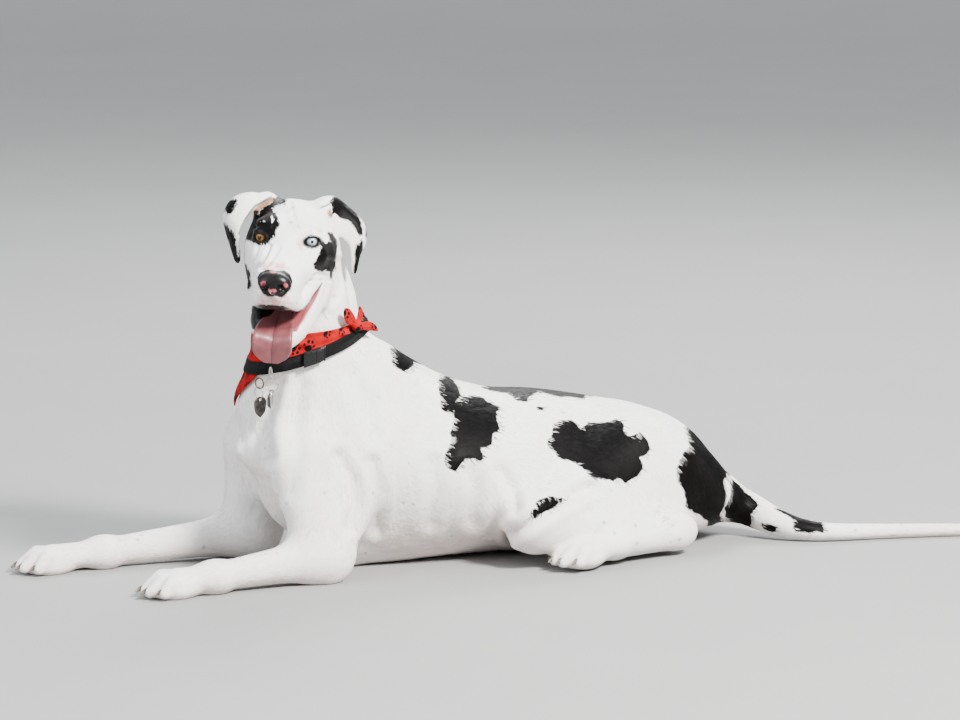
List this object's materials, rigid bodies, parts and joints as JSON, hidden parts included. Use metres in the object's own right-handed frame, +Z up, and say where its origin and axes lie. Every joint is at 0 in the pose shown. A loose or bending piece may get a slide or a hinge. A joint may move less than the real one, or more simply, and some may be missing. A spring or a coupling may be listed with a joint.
{
  "type": "great dane",
  "caption": "Life-size still model of a harlequin great dane lying on its chest, head turned to its left and tongue out, with a collar, tags and a neckerchief.",
  "frame": {"origin": "on the floor, at the flat of the brisket between the elbows", "axes": "-X the way the body faces, -Y the dog's left side, +Z up"},
  "size_m": [1.6721, 0.5424, 0.5915],
  "materials": {
    "coat": "short flat coat, white with torn black patches",
    "eye_blue": "wet, glossy",
    "eye_amber": "wet, glossy",
    "tongue": "moist, satin",
    "nylon": "woven webbing",
    "buckle": "moulded, satin",
    "cotton": "plain weave, printed",
    "steel": "polished",
    "bronze": "tarnished",
    "dark_bronze": "dark, worn"
  },
  "bodies": {
    "root": {"bandana": "cotton", "bandana_knot": "cotton", "collar": "nylon", "collar_buckle": "buckle", "collar_hook": "steel", "collar_ring": "bronze", "ear_left": "coat", "ear_right": "coat", "eye_left": "eye_blue", "eye_right": "eye_amber", "foreleg_left": "coat", "foreleg_right": "coat", "forepaw_left": "coat", "forepaw_right": "coat", "head": "coat", "hindleg_left": "coat", "hindleg_right": "coat", "neck": "coat", "split_ring_a": "steel", "split_ring_b": "steel", "tag_dark": "dark_bronze", "tag_silver_a": "steel", "tag_silver_b": "steel", "tail_middle": "coat", "tail_root": "coat", "tail_tip": "coat", "tongue": "tongue", "torso": "coat"}
  },
  "joints": []
}
